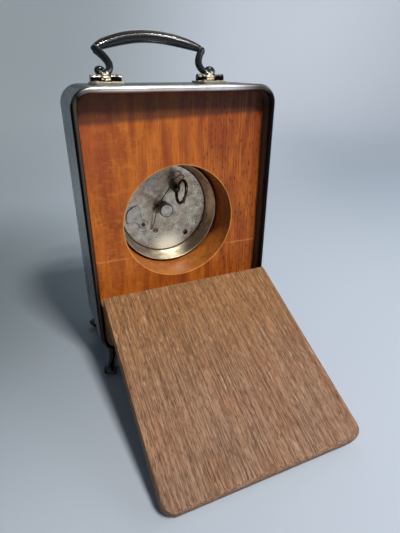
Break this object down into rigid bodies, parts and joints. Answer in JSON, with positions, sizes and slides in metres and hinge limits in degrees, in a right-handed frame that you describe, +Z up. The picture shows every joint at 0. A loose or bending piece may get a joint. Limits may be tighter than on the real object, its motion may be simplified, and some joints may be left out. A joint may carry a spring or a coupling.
{
  "type": "travel clock",
  "caption": "Metal-covered wooden travel clock with a folded-down back door, a drum movement, a leaning carrying handle and turned-out feet.",
  "frame": {"origin": "on the floor, under the middle of the part's box with the back door folded down", "axes": "+Z up, +Y out of the clock's back towards the folded-down door, +X towards the clock's right side as its owner faces the back, seen on the picture's left"},
  "size_m": [0.0872, 0.1246, 0.1454],
  "materials": {
    "band_silver": "polished silver sheet, tarnished to a dark blue-grey",
    "bright_silver": "polished silver with fine scratches",
    "stained_wood": "thin pine stained almost black",
    "varnished_wood": "orange-brown varnish over straight grain",
    "raw_oak": "unvarnished, coarse open grain",
    "black_metal": "cast, tarnished black and glossy",
    "nickel": "nickel plate with tarnish specks",
    "dark_steel": "turned steel, darkened",
    "blued_steel": "heat-blued",
    "brass": "lacquered, slightly dull",
    "enamel": "glossy white",
    "clear_glass": "clear, flat"
  },
  "bodies": {
    "case": {"case_band": "band_silver", "front_plate": "bright_silver", "carcass": "stained_wood", "wood_block": "varnished_wood", "back_rail": "raw_oak", "rail_hinge_leaves": "brass", "door_hinge_pins": "brass", "rail_hinge_screws": "brass", "handle_bracket_left": "bright_silver", "handle_bracket_right": "bright_silver", "handle_pins": "nickel", "bracket_screws": "nickel", "foot_back_left": "black_metal", "foot_back_right": "black_metal", "foot_front_left": "black_metal", "foot_front_right": "black_metal", "foot_studs": "dark_steel", "drum_case": "nickel", "back_cover": "nickel", "cover_screw": "brass", "bezel": "bright_silver", "dial_glass": "clear_glass", "dial": "enamel", "back_wire": "dark_steel", "shutter_rivet": "nickel", "rear_movement_plate": "brass", "front_movement_plate": "brass", "plate_pillars": "brass", "mainspring": "blued_steel", "click_spring": "blued_steel", "hairspring": "blued_steel"},
    "door": {"back_door": "raw_oak", "door_hinge_leaves": "brass", "door_hinge_screws": "brass"},
    "handle": {"handle": "black_metal"},
    "winding": {"winding_key": "dark_steel", "barrel_arbor": "dark_steel", "ratchet_wheel": "dark_steel"},
    "ring": {"key_ring": "dark_steel"},
    "setting": {"set_knob": "nickel", "centre_arbor": "dark_steel", "cannon_pinion": "dark_steel", "minute_hand": "blued_steel"},
    "hours": {"hour_wheel": "brass", "hour_hand": "blued_steel"},
    "minute_work": {"minute_wheel": "brass"},
    "centre": {"centre_wheel": "brass"},
    "barrel": {"mainspring_barrel": "brass"},
    "third": {"third_wheel": "brass"},
    "fourth": {"fourth_wheel": "brass"},
    "escape": {"escape_wheel": "brass"},
    "pallets": {"pallet_lever": "dark_steel"},
    "balance": {"balance_wheel": "brass"},
    "regulator": {"regulator_arm": "dark_steel"},
    "shutter": {"regulator_shutter": "nickel"},
    "click": {"click": "dark_steel"}
  },
  "joints": [
    {"name": "door_hinge", "type": "hinge", "parent": "case", "child": "door", "pos_m": [0, -0.01865, 0.0351], "axis": [1, 0, 0], "range_deg": [0, 114.4]},
    {"name": "handle_hinge", "type": "hinge", "parent": "case", "child": "handle", "pos_m": [0.0032, -0.03725, 0.1267], "axis": [1, 0, 0], "range_deg": [-127, 33]},
    {"name": "key_turn", "type": "hinge", "parent": "case", "child": "winding", "pos_m": [-0.0056, -0.04855, 0.0774], "axis": [0, 1, 0], "continuous": true},
    {"name": "ring_fold", "type": "hinge", "parent": "winding", "child": "ring", "pos_m": [-0.0056, -0.04415, 0.0774], "axis": [-0.2588, 0, 0.9659], "range_deg": [-60, 60]},
    {"name": "hand_setting", "type": "hinge", "parent": "case", "child": "setting", "pos_m": [0, -0.04855, 0.0669], "axis": [0, 1, 0], "continuous": true},
    {"name": "hour_hand_turn", "type": "hinge", "parent": "case", "child": "hours", "pos_m": [0, -0.05655, 0.0669], "axis": [0, 1, 0], "continuous": true},
    {"name": "minute_wheel_turn", "type": "hinge", "parent": "case", "child": "minute_work", "pos_m": [0.00424, -0.05505, 0.06266], "axis": [0, 1, 0], "continuous": true},
    {"name": "fourth_wheel_turn", "type": "hinge", "parent": "case", "child": "fourth", "pos_m": [0.00877, -0.05155, 0.06149], "axis": [0, 1, 0], "continuous": true},
    {"name": "third_wheel_turn", "type": "hinge", "parent": "case", "child": "third", "pos_m": [0.0068, -0.05155, 0.0669], "axis": [0, 1, 0], "continuous": true},
    {"name": "centre_wheel_turn", "type": "hinge", "parent": "case", "child": "centre", "pos_m": [0, -0.05155, 0.0669], "axis": [0, 1, 0], "continuous": true},
    {"name": "barrel_turn", "type": "hinge", "parent": "case", "child": "barrel", "pos_m": [-0.0056, -0.05155, 0.0774], "axis": [0, 1, 0], "continuous": true},
    {"name": "escape_wheel_turn", "type": "hinge", "parent": "case", "child": "escape", "pos_m": [0.00646, -0.05155, 0.05749], "axis": [0, 1, 0], "continuous": true},
    {"name": "pallet_rock", "type": "hinge", "parent": "case", "child": "pallets", "pos_m": [0.00327, -0.05255, 0.05632], "axis": [0, 1, 0], "range_deg": [-4, 4]},
    {"name": "balance_swing", "type": "hinge", "parent": "case", "child": "balance", "pos_m": [-0.00274, -0.05155, 0.05526], "axis": [0, 1, 0], "range_deg": [-200, 200], "stiffness_Nm_per_rad": 0.0000004},
    {"name": "regulator_turn", "type": "hinge", "parent": "case", "child": "regulator", "pos_m": [-0.00274, -0.05355, 0.05526], "axis": [0, 1, 0], "range_deg": [-15, 15]},
    {"name": "shutter_swing", "type": "hinge", "parent": "case", "child": "shutter", "pos_m": [0.0114, -0.04855, 0.0599], "axis": [0, 1, 0], "range_deg": [-15, 20]},
    {"name": "click_lift", "type": "hinge", "parent": "case", "child": "click", "pos_m": [-0.0109, -0.04955, 0.07465], "axis": [0, 1, 0], "range_deg": [0, 12], "stiffness_Nm_per_rad": 0.00001}
  ],
  "couplings": [
    {"joint": "hour_hand_turn", "follows": "hand_setting", "ratio": 0.083333},
    {"joint": "minute_wheel_turn", "follows": "hand_setting", "ratio": -0.33333},
    {"joint": "third_wheel_turn", "follows": "fourth_wheel_turn", "ratio": -0.125},
    {"joint": "centre_wheel_turn", "follows": "fourth_wheel_turn", "ratio": 0.016667},
    {"joint": "barrel_turn", "follows": "fourth_wheel_turn", "ratio": -0.002381},
    {"joint": "escape_wheel_turn", "follows": "fourth_wheel_turn", "ratio": -10}
  ]
}
